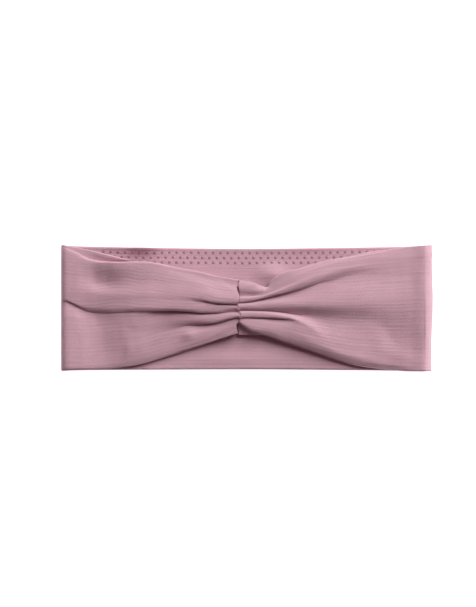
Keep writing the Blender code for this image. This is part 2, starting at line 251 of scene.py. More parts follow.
# ---------------------------------------------------------------- right front
RIGHT_TOP_HEM = (
    (-6, 15.2), (5, 14.4), (10, 13.4), (12.2, 14.1), (15.4, 17.4), (18.7, 20.0), (22, 22.2), (28.4, 24.4),
    (35, 26.0), (48, 29.8), (67.4, 33.5), (80.4, 36.4), (93.4, 38.0), (106, 39.7), (120, 41.0),
)
RIGHT_BOTTOM_HEM = (
    (-6, -17.3), (8.9, -17.4), (15.4, -19.0), (22, -21.5), (28.4, -23.6), (41.4, -28.0), (48, -30.2),
    (61, -34.6), (74, -37.8), (93.4, -40.2), (106, -41.0), (120, -41.0),
)
RIGHT_LINES = (
    line(shifted(RIGHT_TOP_HEM, -HEM_TURN), ((0, -2.1),), steps=4),
    line(RIGHT_TOP_HEM, ((10, -1.6), (14, -0.4), (22, 0.8), (60, 0.5), (100, -0.6)), HARD, HARD, 4),
    line(  # crown of the hem
        ((-6, 15.4), (5, 14.6), (10, 13.6), (12.2, 14.0), (15.4, 16.8), (22, 21.7), (28.4, 23.9),
         (48, 29.3), (67.4, 33.0), (93.4, 37.5), (120, 40.5)),
        ((-6, -1.2), (10, -0.6), (13, 1.0), (16, 1.9), (28, 1.8), (48, 1.4), (80, 0.9),
         (110, 0.3)), steps=6,
    ),
    line(  # tuck behind the short roll
        ((-6, 16.0), (5, 15.2), (10, 14.0), (12.2, 13.7), (15.4, 14.8), (22, 18.8), (28.4, 21.2),
         (35, 23.4), (48, 27.4), (80, 34.6), (120, 39.2)),
        ((-6, -0.9), (9, -0.9), (12.2, 0.2), (15, 2.3), (20, 2.4), (28, 2.5), (48, 2.1), (80, 1.3),
         (110, 0.4)),
        ((8, 0.4), (14, 0.0)), ((8, 0.6), (14, 0.0)), 5,
    ),
    line(  # the short roll's edge
        ((-6, 18.0), (2.4, 17.0), (7.6, 15.3), (9.6, 14.3), (11.8, 13.1), (15.4, 13.0), (22, 16.8),
         (28.4, 19.4), (35, 21.9), (48, 26.4), (80, 33.4), (120, 38.4)),
        ((-6, 2.4), (5, 2.5), (9, 2.2), (12.2, 2.0), (15, 2.7), (20, 2.8), (28, 2.9), (48, 2.5), (80, 1.5),
         (110, 0.5)),
        ((7, 1.0), (11, 0.0)), ((-4, 0.6), (6, 0.4), (11, 0.0)), 6,
    ),
    line(  # crown of the short roll
        ((-6, 12.2), (2.4, 11.6), (8.9, 11.0), (12, 10.8), (15.4, 11.6), (28.4, 17.2), (35, 20.2),
         (48, 25.2), (80, 32.2), (120, 37)),
        ((-6, 4.0), (6, 4.0), (10, 3.7), (14, 3.2), (28, 3.2), (48, 2.7), (80, 1.7), (110, 0.6)), steps=6,
    ),
    line(  # shallow valley under it
        ((-6, 7.8), (2.4, 7.7), (8.9, 8.3), (14, 9.5), (28.4, 15.4), (35, 18.6), (48, 23.6), (80, 30.6),
         (120, 35.0)),
        ((-6, 2.9), (3, 2.9), (9, 3.2), (14, 3.4), (28, 3.5), (48, 3.0), (80, 1.8), (110, 0.7)), steps=6,
    ),
    line(  # band over the first valley
        ((-6, 5.8), (8.9, 7.2), (22, 11.4), (35, 16.2), (48, 21.0), (67, 25.6), (80, 28.0), (120, 32)),
        ((-6, 4.2), (9, 4.2), (22, 4.3), (35, 4.0), (48, 3.4), (67, 2.6), (87, 1.5), (110, 0.5)), steps=8,
    ),
    line(  # first valley
        ((-6, 2.8), (2.4, 3.6), (8.9, 5.2), (15.4, 6.9), (22, 8.4), (28.4, 10.0), (35, 11.8), (41.4, 14.0),
         (48, 16.2), (54, 17.6), (67, 20.2), (74, 21.0), (87, 20.5), (120, 20)),
        ((-6, 1.2), (9, 1.2), (22, 1.1), (41, 1.0), (61, 0.9), (78, 0.8), (95, 0.7), (110, 0.6)),
        ((20, 1.0), (45, 0.6), (70, 0.0)), ((0, 0.9), (15, 0.4), (30, 0.0)), 10,
    ),
    line(  # middle lobe
        ((-6, 0.9), (8.9, 1.8), (22, 2.3), (35, 1.8), (54, 1.8), (74, 3.0), (90, 4.5), (104, 5.0),
         (120, 6)),
        ((-6, 4.5), (9, 4.4), (35, 3.9), (54, 3.5), (74, 2.8), (90, 2.1), (104, 1.4), (113, 1.0)),
        steps=10,
    ),
    line(  # second valley
        ((-6, -1.5), (8.9, -1.9), (22, -2.7), (28, -3.6), (35, -4.9), (45, -6.0), (54, -6.8), (74, -8.4),
         (86, -12), (98, -22), (120, -28)),
        ((-6, 1.0), (22, 0.7), (35, 0.6), (54, 0.6), (74, 0.3), (90, -0.1), (104, 0.0), (118, 0.0)),
        ((0, 0.9), (25, 0.6), (38, 0.0)), ((10, 0.9), (30, 0.4), (45, 0.0)), 10,
    ),
    line(  # third ridge
        ((-6, -4.2), (2.4, -3.6), (8.9, -4.0), (15, -4.3), (22, -5.1), (28.4, -6.4), (35, -9.1),
         (41.4, -13.0), (48, -17.5), (54, -20.5), (74, -25.5), (87, -29), (100, -33.0), (120, -36)),
        ((-6, 4.4), (20, 4.2), (35, 3.8), (41, 3.7), (48, 3.5), (60, 2.7), (72, 1.8), (82, 1.1), (100, 0.8),
         (118, 0.0)),
        steps=8,
    ),
    line(  # pocket under it
        ((-6, -6.3), (22, -7.0), (28.4, -7.9), (33.6, -9.9), (38, -13.0), (48, -20.0), (60, -25.0),
         (80, -29.4), (100, -35.0), (120, -37.5)),
        ((-6, 1.0), (9, 1.2), (22, 2.0), (28, 3.1), (34, 3.8), (48, 3.7), (60, 2.9), (72, 2.0), (82, 1.2),
         (100, 0.7), (118, 0.0)),
        ((25, 1.0), (33, 0.0)), ((10, 0.9), (27, 0.2), (33, 0.0)), 8,
    ),
    line(  # lower lobe
        ((-6, -7.8), (-2.8, -8.6), (2.4, -10.6), (8.9, -12.0), (22, -13.4), (30, -15.4), (38, -18.8),
         (48, -23.4), (60, -28.4), (80, -33.2), (100, -36.8), (120, -38.8)),
        ((-6, 2.6), (3, 3.4), (22, 3.4), (30, 3.8), (38, 4.0), (48, 3.8), (60, 3.1), (72, 2.2), (82, 1.3),
         (100, 0.6), (118, 0.0)),
        steps=10,
    ),
    line(  # brink of the lower lobe
        ((-6, -9.0), (-2.8, -10.3), (2.4, -14.1), (8.9, -16.3), (15.4, -18.2), (22, -20.4), (28.4, -22.4),
         (41.4, -26.8), (48, -29.0), (61, -33.4), (74, -36.6), (93.4, -39.0), (106, -39.8), (120, -40.0)),
        ((-6, 1.2), (9, 1.3), (17, 1.6), (30, 1.7), (48, 1.3), (60, 0.9), (75, 0.5), (100, 0.2)),
        ((8, 1.0), (16, 0.0)), ((8, 1.0), (16, 0.0)), 6,
    ),
    line(  # tuck under the brink, by the seam
        ((-6, -9.4), (-2.8, -10.8), (2.4, -14.5), (8.9, -16.6), (15.4, -18.5), (22, -20.8), (28.4, -22.8),
         (48, -29.4), (61, -33.8), (74, -37), (93.4, -39.4), (120, -40.4)),
        ((-6, -0.6), (9, -0.2), (17, 0.4), (30, 0.4), (60, 0.1), (100, 0.0)),
        ((8, 0.6), (16, 0.0)), ((8, 0.5), (16, 0.0)), 6,
    ),
    line(RIGHT_BOTTOM_HEM, ((8, -1.2), (17, -HEM_DEPTH)), HARD, HARD, 4),
    line(shifted(RIGHT_BOTTOM_HEM, HEM_TURN), ((0, -2.1),)),
)

# A crest along the right side fold's shoulder, as (x, height) points.
SHOULDER = ((-1, 0.0), (96, 0.0), (106, 0.2), (114, 1.0), (117, 0.7), (120, 0.0))

# The seam's line, as (y, x) points, and how far from it the cloth follows its wander.
SEAM_LINE = (
    (-17, -5.0), (-11, -6.0), (-7.2, -4.1), (-5.2, -3.9), (-2.8, -4.1), (-1.0, -5.3), (1.6, -5.5),
    (4.4, -5.0), (7.8, -4.4), (13, -5.6), (18.2, -5.0),
)
SEAM_REACH = 12.0
# How far each side of the seam gapes beyond its half gap, as (y, gape) points.
SEAM_GAPE = (
    (-17, 0.1), (-14, 0.36), (-11, 0.42), (-9, 0.25), (-7.4, 0.04), (-6.2, 0.1), (2.0, 0.1), (3.4, 0.02),
    (7.5, 0.05), (10, 0.25), (13, 0.4), (16, 0.3), (18, 0.05),
)
GAPE_REACH = 3.5
CREASE_POWER = 3.2  # 2 makes a round shoulder beside a crease, and more a squarer one
SEAM_ROLL = 0.4
SEAM_DEPTH = 1.9  # how far the cloth goes straight down into the seam
SEAM_ROLL_ROWS = 8
SEAM_DEPTH_ROWS = 3
SEAM_HALF_GAP = 0.08
ROLL_START = SEAM_ROLL * 1.2  # from the seam, where the even stations end
PLUNGE_FROM = 0.5  # cloth this far under the flat face stays out of the seam
PLUNGE_SPAN = 3.0
PLUNGE_PAST = 0.1


def ease(t, start, end):
    """Sideways and upward shares of the way between two lines, creased at either by its share."""
    most = np.maximum(start + end, 1.0)
    start, end = start / most, end / most
    plain = 1 - start - end
    quarter = t * math.pi / 2
    rise, run = np.sin(quarter) ** (2 / CREASE_POWER), 1 - np.cos(quarter) ** (2 / CREASE_POWER)
    across = plain * t + start * run + end * rise
    creased = np.maximum(start + end, 1e-6)
    upward = (start * rise + end * run) / creased
    return across, upward, 1 - plain


def line_slopes(y, height):
    """How steeply the cloth passes each line, none at a crest or a valley."""
    step = np.diff(y, axis=0)
    step = np.where(np.abs(step) < 1e-6, 1e-6, step)
    slope = np.diff(height, axis=0) / step
    turn = slope[:-1] * slope[1:]
    total = np.where(turn > 0, slope[:-1] + slope[1:], 1.0)
    inner = np.where(turn > 0, 2 * turn / total, 0.0)
    return np.concatenate((slope[:1], inner, slope[-1:]))


def front_section(lines, x):
    """(y, height over the flat face) across the front at each x, from its top hem to its bottom hem."""
    y = np.stack([curve(each.path, x) for each in lines])
    height = np.stack([curve(each.height, x) for each in lines])
    slopes = line_slopes(y, height)
    ys, heights = [], []
    for i, (upper, lower) in enumerate(zip(lines, lines[1:])):
        below, above = curve(upper.below, x), curve(lower.above, x)
        span = y[i + 1] - y[i]
        for k in range(upper.steps + (lower is lines[-1])):
            across, upward, creased = ease(k / upper.steps, below, above)
            rest = across**2 * (3 - 2 * across)
            soft = height[i] * (1 - rest) + height[i + 1] * rest
            soft += span * slopes[i] * across * (1 - across) ** 2
            soft -= span * slopes[i + 1] * across**2 * (1 - across)
            hard = height[i] + (height[i + 1] - height[i]) * upward
            ys.append(y[i] + span * across)
            heights.append(soft + (hard - soft) * creased)
    return np.stack(ys, 1), np.stack(heights, 1) + curve(SHOULDER, x)[:, None]


FRONT_LINES = {-1: LEFT_LINES, 1: RIGHT_LINES}

# Dents and swellings of the front cloth: (x, y, reach along, reach across, height).
DENTS = (
    (-37, -17.5, 5, 4, 0.9),
    (99, -12, 12, 17, -1.3),
)
DENT_MARGIN = 1.0  # from a hem to where they start
DENT_FADE = 4.0
# How far the lower edge sags towards the back, as (x, droop) points, and how far up the sag reaches.
DROOP = (
    (-114, 0.0), (-104, 1.1), (-96, 2.1), (-84, 3.2), (-66, 4.6), (-43, 5.0), (-23, 4.6), (-12, 3.7),
    (-4, 3.2), (5, 3.2), (15, 3.8), (28, 4.7), (40, 5.05), (60, 5.1), (75, 4.95), (90, 3.7), (104, 1.2),
    (114, 0.0),
)
SAG_REACH = 48.0
SAG_SHARE = 0.9
EDGE_REACH = 2.5
# Fine relief by the seam, on cloth that stands proud of the flat face.
PROUD_FROM = 0.2
PROUD_SPAN = 2.0
PUCKER_PITCH = 1.9  # along the seam
PUCKER_REACH = 2.6
PUCKER_HEIGHT = 0.16
WRINKLE_HEIGHT = 0.28
WRINKLE_START = 3.0  # from the seam
WRINKLE_REACH = 30.0
WRINKLE_LENGTH = 22.0
WRINKLE_PITCH = 1.3  # at the seam
WRINKLE_FAN = 26.0  # how far from the seam they are twice as wide
WRINKLE_SEED = 7.5
# The front linings.
LINING_HALF_GAP = 0.3  # from the seam to a lining's end
LINING_COLUMNS = 61
GATHERS = 6
GATHER_SWELL = 0.7
GATHER_PEAK = 12.0  # from the seam to where the gathers are highest
GATHER_START = 3.5
GATHER_FADE = 6.0


def mounds(table, x, y):
    """Height at a place of a table of mounds: (x, y, reach along, reach across, height)."""
    total = np.zeros(np.broadcast(x, y).shape)
    for at_x, at_y, along, across, height in table:
        total += height * np.exp(-(((x - at_x) / along) ** 2) - ((y - at_y) / across) ** 2)
    return total


def droop(side, x, y):
    """How far the front, outer and lining alike, sags at a place."""
    away = y - curve(FRONT_LINES[side][-1].path, x)
    sag = SAG_SHARE * smooth_step(1 - away / SAG_REACH) + (1 - SAG_SHARE) * smooth_step(1 - away / EDGE_REACH)
    return curve(DROOP, x) * sag


def wrinkles(x, y, seed):
    """Fine wrinkles that run out of the seam, from -1 to 1."""
    made = np.empty(x.shape)
    for i, (px, py) in enumerate(zip(x.ravel(), y.ravel())):
        spread = 1 + abs(px - SEAM_X) / WRINKLE_FAN
        made.flat[i] = noise.noise((px / WRINKLE_LENGTH, py / (WRINKLE_PITCH * spread), seed))
    return made


def grid_of(x, y, z):
    return np.stack(np.broadcast_arrays(x, y, z), 2)


def fold_shape(side, turn):
    """(outward, upward) shares of a side fold's radius at each angle up from the band's middle level."""
    power = 2 / FOLD_SHARPNESS[side]
    return np.cos(turn) ** power, np.sin(turn) ** power


def front_stations(side):
    """Places along the band from side fold to seam, and how far down into the seam each is, from 0 to 1."""
    start, end = side * FOLD_X, SEAM_X + side * SEAM_HALF_GAP
    even = np.linspace(start, end, int(abs(end - start) / STATION_STEP))
    even = even[np.abs(even - end) > ROLL_START]
    rolled = end + side * SEAM_ROLL * (1 - np.sin(np.linspace(0, math.pi / 2, SEAM_ROLL_ROWS)))
    x = np.concatenate((even, rolled, np.full(SEAM_DEPTH_ROWS, end)))
    plunge = np.concatenate((np.zeros(len(even) + SEAM_ROLL_ROWS), np.arange(1, SEAM_DEPTH_ROWS + 1)))
    return x, plunge[:, None] / SEAM_DEPTH_ROWS


def draped(side, x, y, h, gap):
    """Heights with the front's dents, sag, wrinkles and puckers; gap is the way to the seam."""
    proud = smooth_step((h + PROUD_FROM) / PROUD_SPAN)  # the turned edges stay smooth
    inner = smooth_step((y[:, :1] - DENT_MARGIN - y) / DENT_FADE)
    inner *= smooth_step((y - y[:, -1:] - DENT_MARGIN) / DENT_FADE)
    wrinkled = np.exp(-gap / WRINKLE_REACH) * (1 - np.exp(-gap / WRINKLE_START))
    h = h + mounds(DENTS, x, y) * inner - droop(side, x, y)
    h += WRINKLE_HEIGHT * wrinkled * proud * wrinkles(np.broadcast_to(x, y.shape), y, side * WRINKLE_SEED)
    h += PUCKER_HEIGHT * np.exp(-gap / PUCKER_REACH) * proud * np.sin(y * 2 * math.pi / PUCKER_PITCH)
    return h


def tucked(h, gap, plunge):
    """Heights with the cloth rolled over and taken down into the seam."""
    fall = SEAM_ROLL * (1 - np.sqrt(np.clip(1 - (1 - np.minimum(gap / SEAM_ROLL, 1)) ** 2, 0, 1)))
    shown = smooth_step((h + PLUNGE_FROM) / PLUNGE_SPAN)
    return h - (fall + plunge * np.clip(h - SEAM_ROLL + PLUNGE_PAST, 0, SEAM_DEPTH)) * shown


def front_grid(side):
    """Outside points of a front sheet, a row for each place along the band from its side fold to the seam."""
    x, plunge = front_stations(side)
    y, h = front_section(FRONT_LINES[side], x)
    gap = np.abs(x - x[-1])[:, None]
    x = x[:, None]
    h = tucked(draped(side, x, y, h, gap), gap, plunge)
    x = x + (curve(SEAM_LINE, y) - SEAM_X) * (1 - smooth_step(gap / SEAM_REACH))
    x += side * curve(SEAM_GAPE, y) * (1 - smooth_step(gap / GAPE_REACH))
    flat_rows = grid_of(x, y, 2 * MID_Z + h)
    out, up = fold_shape(side, FOLD_TURN)
    y, h = front_section(FRONT_LINES[side], side * (FOLD_X + MID_Z * out))
    radius = MID_Z + h
    fold_rows = grid_of(side * (FOLD_X + radius * out[:, None]), y, MID_Z + radius * up[:, None])
    return np.concatenate((fold_rows, flat_rows))


def lining_grid(side):
    """Points of a front lining's face inside the loop, gathered a little by the seam."""
    start, end = side * FOLD_X, SEAM_X + side * LINING_HALF_GAP
    x = np.linspace(start, end, int(abs(end - start) / BACK_STEP))[:, None]
    share = np.linspace(0, 1, LINING_COLUMNS)
    top, bottom = FRONT_LINES[side][0].path, FRONT_LINES[side][-1].path
    y = curve(top, x) * (1 - share) + curve(bottom, x) * share
    gap = np.abs(x - end)
    gathers = 0.5 - 0.5 * np.cos(share * 2 * math.pi * GATHERS)
    swell = GATHER_SWELL * (gap / GATHER_PEAK) * np.exp(1 - gap / GATHER_PEAK) * gathers
    swell *= smooth_step((gap - GATHER_START) / GATHER_FADE)
    z = 2 * MID_Z - HALF_STACK + swell - droop(side, x, y)
    flat_rows = grid_of(x, y, z + np.minimum(mounds(DENTS, x, y), 0))
    out, up = (each[:, None] for each in fold_shape(side, FOLD_TURN))
    at = side * (FOLD_X + MID_Z * out)
    radius = MID_Z - HALF_STACK
    y = curve(top, at) * (1 - share) + curve(bottom, at) * share
    fold_rows = grid_of(side * (FOLD_X + radius * out), y, MID_Z + radius * up)
    return np.concatenate((fold_rows, flat_rows))


def normals(grid):
    along = np.gradient(grid, axis=0)
    across = np.gradient(grid, axis=1)
    made = np.cross(along, across)
    return made / np.maximum(np.linalg.norm(made, axis=2, keepdims=True), 1e-9)


def cloth_coordinates(grid):
    """(along, across) places on the flat cloth."""
    steps = np.linalg.norm(np.diff(grid, axis=1), axis=2)
    across = np.concatenate((np.zeros((len(grid), 1)), np.cumsum(steps, axis=1)), axis=1)
    across *= 2 * HALF_HEIGHT / across[:, -1:]
    middle = grid.mean(axis=1)
    steps = np.linalg.norm(np.diff(middle, axis=0), axis=1)
    along = np.concatenate(([0.0], np.cumsum(steps)))
    return np.stack((np.broadcast_to(along[:, None], across.shape), across), 2)


def solid(name, points, faces, places, surface, sharp=50):
    """A closed mesh with its cloth coordinates, smooth but for edges sharper than that many degrees."""
    mesh = bpy.data.meshes.new(name)
    mesh.from_pydata((points * MM).tolist(), [], faces)
    mesh.uv_layers.new(name="cloth")
    loops = np.zeros(len(mesh.loops), int)
    mesh.loops.foreach_get("vertex_index", loops)
    mesh.uv_layers["cloth"].data.foreach_set("uv", places[loops].astype(np.float32).ravel())
    if signed_volume(mesh) < 0:
        mesh.flip_normals()
    mesh.shade_smooth()
    mesh.set_sharp_from_angle(angle=math.radians(sharp))
    mesh.materials.append(surface)
    made = bpy.data.objects.new(name, mesh)
    bpy.context.scene.collection.objects.link(made)
    return made


def signed_volume(mesh):
    mesh.calc_loop_triangles()
    corners = np.zeros(len(mesh.loop_triangles) * 3, int)
    mesh.loop_triangles.foreach_get("vertices", corners)
    co = np.zeros(len(mesh.vertices) * 3)
    mesh.vertices.foreach_get("co", co)
    a, b, c = np.moveaxis(co.reshape(-1, 3)[corners.reshape(-1, 3)], 1, 0)
    return float((a * np.cross(b, c)).sum()) / 6


def shell(name, outside, surface, inward, thickness=CLOTH):
    """A closed sheet of cloth whose outside is a grid of points. inward is 1 where the grid's normals point
    to the cloth's inside and -1 where they point away from it."""
    rows, columns = outside.shape[:2]
    inside = outside + normals(outside) * thickness * inward
    points = np.concatenate((outside.reshape(-1, 3), inside.reshape(-1, 3)))
    index = np.arange(rows * columns).reshape(rows, columns)
    a, b, c, d = index[:-1, :-1], index[1:, :-1], index[1:, 1:], index[:-1, 1:]
    outer = np.stack((a, b, c, d), 2).reshape(-1, 4)
    inner = outer[:, ::-1] + rows * columns
    rim = np.concatenate((index[:-1, 0], index[-1, :-1], index[:0:-1, -1], index[0, :0:-1]))
    after = np.roll(rim, -1)
    side = np.stack((after, rim, rim + rows * columns, after + rows * columns), 1)
    places = np.tile(cloth_coordinates(outside).reshape(-1, 2), (2, 1))
    return solid(name, points, np.concatenate((outer, inner, side)).tolist(), places, surface)


TUBE_TURN = (0.0, 0.13, 1.0)  # no thread runs along this way


def tube(name, path, radius, surface, sides=6):
    """A closed thread along a path of points."""
    path = np.asarray(path, float)
    ahead = np.gradient(path, axis=0)
    ahead /= np.linalg.norm(ahead, axis=1, keepdims=True)
    flank = np.cross(ahead, TUBE_TURN)
    flank /= np.linalg.norm(flank, axis=1, keepdims=True)
    rise = np.cross(flank, ahead)
    angle = np.arange(sides) * 2 * math.pi / sides
    ring = flank[:, None] * np.cos(angle)[:, None] + rise[:, None] * np.sin(angle)[:, None]
    points = (path[:, None] + ring * radius).reshape(-1, 3)
    index = np.arange(len(points)).reshape(-1, sides)
    beside = np.roll(index, -1, axis=1)
    walls = np.stack((index[:-1], beside[:-1], beside[1:], index[1:]), 2).reshape(-1, 4)
    tips = np.array((path[0], path[-1]))
    first = np.stack((np.full(sides, len(points)), beside[0], index[0]), 1)
    last = np.stack((np.full(sides, len(points) + 1), index[-1], beside[-1]), 1)
    run = np.concatenate(([0.0], np.cumsum(np.linalg.norm(np.diff(path, axis=0), axis=1))))
    around = np.arange(sides) / sides
    places = np.stack((np.repeat(run, sides), np.tile(around, len(path))), 1)
    places = np.concatenate((places, ((0.0, 0.5), (run[-1], 0.5))))
    faces = walls.tolist() + first.tolist() + last.tolist()
    return solid(name, np.concatenate((points, tips)), faces, places, surface)


# ---------------------------------------------------------------- back half
BACK_TOP = ((-120, 41.0), (-112, 40.4), (-70, 39.4), (0, 38.7), (70, 39.4), (112, 40.4), (120, 41.0))
BACK_BOTTOM = (
    (-120, -40.9), (-112, -40.5), (-60, -40.1), (0, -39.9), (70, -40.4), (112, -41.0), (120, -41.2),
)
# Where the back lies off the surface: (x, y, reach along, reach across, height).
BACK_WAVES = (
    (-66, 43, 10, 6, 6.0),
    (-84, 42, 12, 5, 1.6),
    (-30, 12, 22, 9, 0.8),
    (17, 22, 9, 5, 2.2),
    (42, 40, 20, 4, 0.7),
    (-8, -33, 26, 4, 0.6),
)
HEM_COLUMNS = 9
BACK_COLUMNS = 40  # between the hems
BACK_LINING_COLUMNS = 50


def back_grid(side, columns):
    """Points of a back sheet, a row for each place along the band from its middle round the side fold."""
    x = np.linspace(0, side * FOLD_X, int(FOLD_X / BACK_STEP))
    out, up = fold_shape(side, FOLD_TURN[::-1])
    out = np.concatenate((np.zeros(len(x)), out))
    up = np.concatenate((np.ones(len(x)), up))
    x = np.concatenate((x, np.full(FOLD_STEPS, side * FOLD_X)))
    rows = []
    for px, o, u in zip(x, out, up):
        at = px + side * MID_Z * o
        y, depth = columns(curve(BACK_TOP, at), curve(BACK_BOTTOM, at))
        radius = MID_Z - depth - mounds(BACK_WAVES, px, y)
        rows.append(np.stack((px + side * radius * o, y, MID_Z - radius * u), 1))
    return np.array(rows)


def outer_columns(top, bottom):
    """The outer ply's outside: turned over the top edge, down the back and turned over the bottom edge."""
    turn = np.linspace(0, math.pi, HEM_COLUMNS)
    y_top = top - HEM_TURN + HEM_TURN * np.sin(turn)
    depth_top = HEM_DEPTH + HEM_DEPTH * np.cos(turn)
    middle = np.linspace(top - HEM_TURN, bottom + HEM_TURN, BACK_COLUMNS + 2)[1:-1]
    y = np.concatenate((y_top, middle, bottom + HEM_TURN - HEM_TURN * np.sin(turn)))
    depth = np.concatenate((depth_top, np.zeros(BACK_COLUMNS), depth_top[::-1]))
    return y, depth


def lining_columns(top, bottom):
    """The lining's face inside the loop, level between the turned edges."""
    y = np.linspace(top - HEM_TURN, bottom + HEM_TURN, BACK_LINING_COLUMNS)
    return y, np.full(len(y), HALF_STACK)


# ---------------------------------------------------------------- materials
def node(tree, kind, *inputs, **settings):
    """The first output of a new node. Inputs are values or other nodes' outputs, in the node's order."""
    made = tree.nodes.new("ShaderNode" + kind)
    for key, value in settings.items():
        setattr(made, key, value)
    for socket, value in zip(made.inputs, inputs):
        if isinstance(value, bpy.types.NodeSocket):
            tree.links.new(value, socket)
        elif value is not None:
            socket.default_value = value
    return made.outputs[0]


def maths(tree, operation, *inputs):
    return node(tree, "Math", *inputs, operation=operation)


def wave(tree, place, pitch, shift=0.0):
    """A sine, from -1 to 1, along a place given in millimetres."""
    angle = maths(tree, "MULTIPLY_ADD", place, 2 * math.pi / pitch, shift)
    return maths(tree, "SINE", angle)


def blotches(tree, along, across, size_along, size_across, detail):
    """Soft noise from 0 to 1, with blotches of about that size in millimetres."""
    u = maths(tree, "DIVIDE", along, size_along)
    v = maths(tree, "DIVIDE", across, size_across)
    vector = node(tree, "CombineXYZ", u, v)
    texture = tree.nodes.new("ShaderNodeTexNoise")
    texture.noise_dimensions = "2D"
    texture.inputs["Scale"].default_value = 1.0
    texture.inputs["Detail"].default_value = detail
    tree.links.new(vector, texture.inputs["Vector"])
    return texture.outputs["Fac"]


def weighted(tree, start, *terms):
    """start plus each value times its weight."""
    total = start
    for value, weight in terms:
        total = maths(tree, "MULTIPLY_ADD", value, weight, total)
    return total


def blend_colour(tree, share, low, high):
    """A colour from low to high by a share; a share outside 0 to 1 counts as the nearer end."""
    made = tree.nodes.new("ShaderNodeMix")
    made.data_type = "RGBA"
    made.clamp_factor = True
    factor, a, b = (made.inputs[i] for i in (0, 6, 7))
    tree.links.new(share, factor)
    a.default_value = (*low, 1)
    b.default_value = (*high, 1)
    return made.outputs[2]


def blank(name, roughness):
    """A new material: (it, its node tree, its shader, along, across)."""
    made = bpy.data.materials.new(name)
    made.use_nodes = True
    tree = made.node_tree
    shader = tree.nodes["Principled BSDF"]
    shader.inputs["Roughness"].default_value = roughness
    place = tree.nodes.new("ShaderNodeSeparateXYZ")
    tree.links.new(node(tree, "UVMap", uv_map="cloth"), place.inputs[0])
    return made, tree, shader, place.outputs[0], place.outputs[1]


def bump(tree, shader, height, distance):
    made = tree.nodes.new("ShaderNodeBump")
    made.inputs["Strength"].default_value = 1.0
    made.inputs["Distance"].default_value = distance * MM
    tree.links.new(height, made.inputs["Height"])
    tree.links.new(made.outputs[0], shader.inputs["Normal"])


def scaled(colour, by):
    return tuple(part * by for part in colour)


CLOTH_COLOUR = (0.56, 0.338, 0.398)
WALE_PITCH = 0.62
WALE_LEAN = 1.9  # how far the loops lean over a wale, in radians of a loop
LOOP_PITCH = 0.54
RIB_PITCH = 2.3


def knit(name):
    """Fine rib knit whose wales run along the band."""
    made, tree, shader, along, across = blank(name, 0.82)
    wale = wave(tree, across, WALE_PITCH)
    lean = maths(tree, "MULTIPLY", wave(tree, across, WALE_PITCH, math.pi / 2), WALE_LEAN)
    loop = maths(tree, "SINE", maths(tree, "MULTIPLY_ADD", along, 2 * math.pi / LOOP_PITCH, lean))
    streaks = blotches(tree, along, across, 38.0, 1.5, 1.0)
    faint = blotches(tree, along, across, 24.0, 30.0, 1.0)
    ribs = maths(tree, "MULTIPLY", wave(tree, across, RIB_PITCH), faint)
    grain = blotches(tree, along, across, 0.9, 0.7, 3.0)
    clouds = blotches(tree, along, across, 17.0, 12.0, 2.0)
    share = weighted(
        tree, -0.25, (wale, 0.12), (loop, 0.07), (streaks, 0.55), (grain, 0.5), (clouds, 0.45),
    )
    colour = blend_colour(tree, share, scaled(CLOTH_COLOUR, 0.86), scaled(CLOTH_COLOUR, 1.14))
    tree.links.new(colour, shader.inputs["Base Color"])
    tree.links.new(weighted(tree, 0.58, (streaks, 0.16), (grain, 0.1)), shader.inputs["Roughness"])
    relief = weighted(tree, 0.0, (wale, 0.5), (loop, 0.3), (grain, 0.6), (streaks, 1.3), (ribs, 0.35))
    bump(tree, shader, relief, 0.09)
    shader.inputs["Sheen Weight"].default_value = 0.25
    shader.inputs["Sheen Roughness"].default_value = 0.45
    shader.inputs["Sheen Tint"].default_value = (1.0, 0.86, 0.9, 1)
    shader.inputs["Specular IOR Level"].default_value = 0.5
    return made


def silicone_surface():
    made, tree, shader, along, across = blank("silicone", 0.38)
    cloudy = blotches(tree, along, across, 1.1, 1.1, 2.0)
    colour = blend_colour(tree, cloudy, (0.33, 0.165, 0.2), (0.4, 0.205, 0.245))
    tree.links.new(colour, shader.inputs["Base Color"])
    tree.links.new(weighted(tree, 0.3, (cloudy, 0.25)), shader.inputs["Roughness"])
    bump(tree, shader, cloudy, 0.03)
    shader.inputs["Subsurface Weight"].default_value = 0.15
    shader.inputs["Subsurface Radius"].default_value = (0.0009, 0.0005, 0.0005)
    return made


PLY_PITCH = 0.55
PLIES = 2


def thread_surface():
    """Twisted thread; across runs once round it, from 0 to 1."""
    made, tree, shader, along, across = blank("thread", 0.6)
    turn = maths(tree, "MULTIPLY", across, PLIES * 2 * math.pi)
    ply = maths(tree, "SINE", maths(tree, "MULTIPLY_ADD", along, 2 * math.pi / PLY_PITCH, turn))
    fuzz = blotches(tree, along, across, 0.4, 0.3, 2.0)
    share = weighted(tree, 0.2, (ply, 0.25), (fuzz, 0.5))
    colour = blend_colour(tree, share, scaled(CLOTH_COLOUR, 0.95), scaled(CLOTH_COLOUR, 1.35))
    tree.links.new(colour, shader.inputs["Base Color"])
    tree.links.new(weighted(tree, 0.45, (fuzz, 0.3)), shader.inputs["Roughness"])
    bump(tree, shader, weighted(tree, 0.5, (ply, 0.4), (fuzz, 0.3)), 0.06)
    shader.inputs["Sheen Weight"].default_value = 0.2
    return made


CORD_PITCH = 0.85
WEFT_PITCH = 0.6


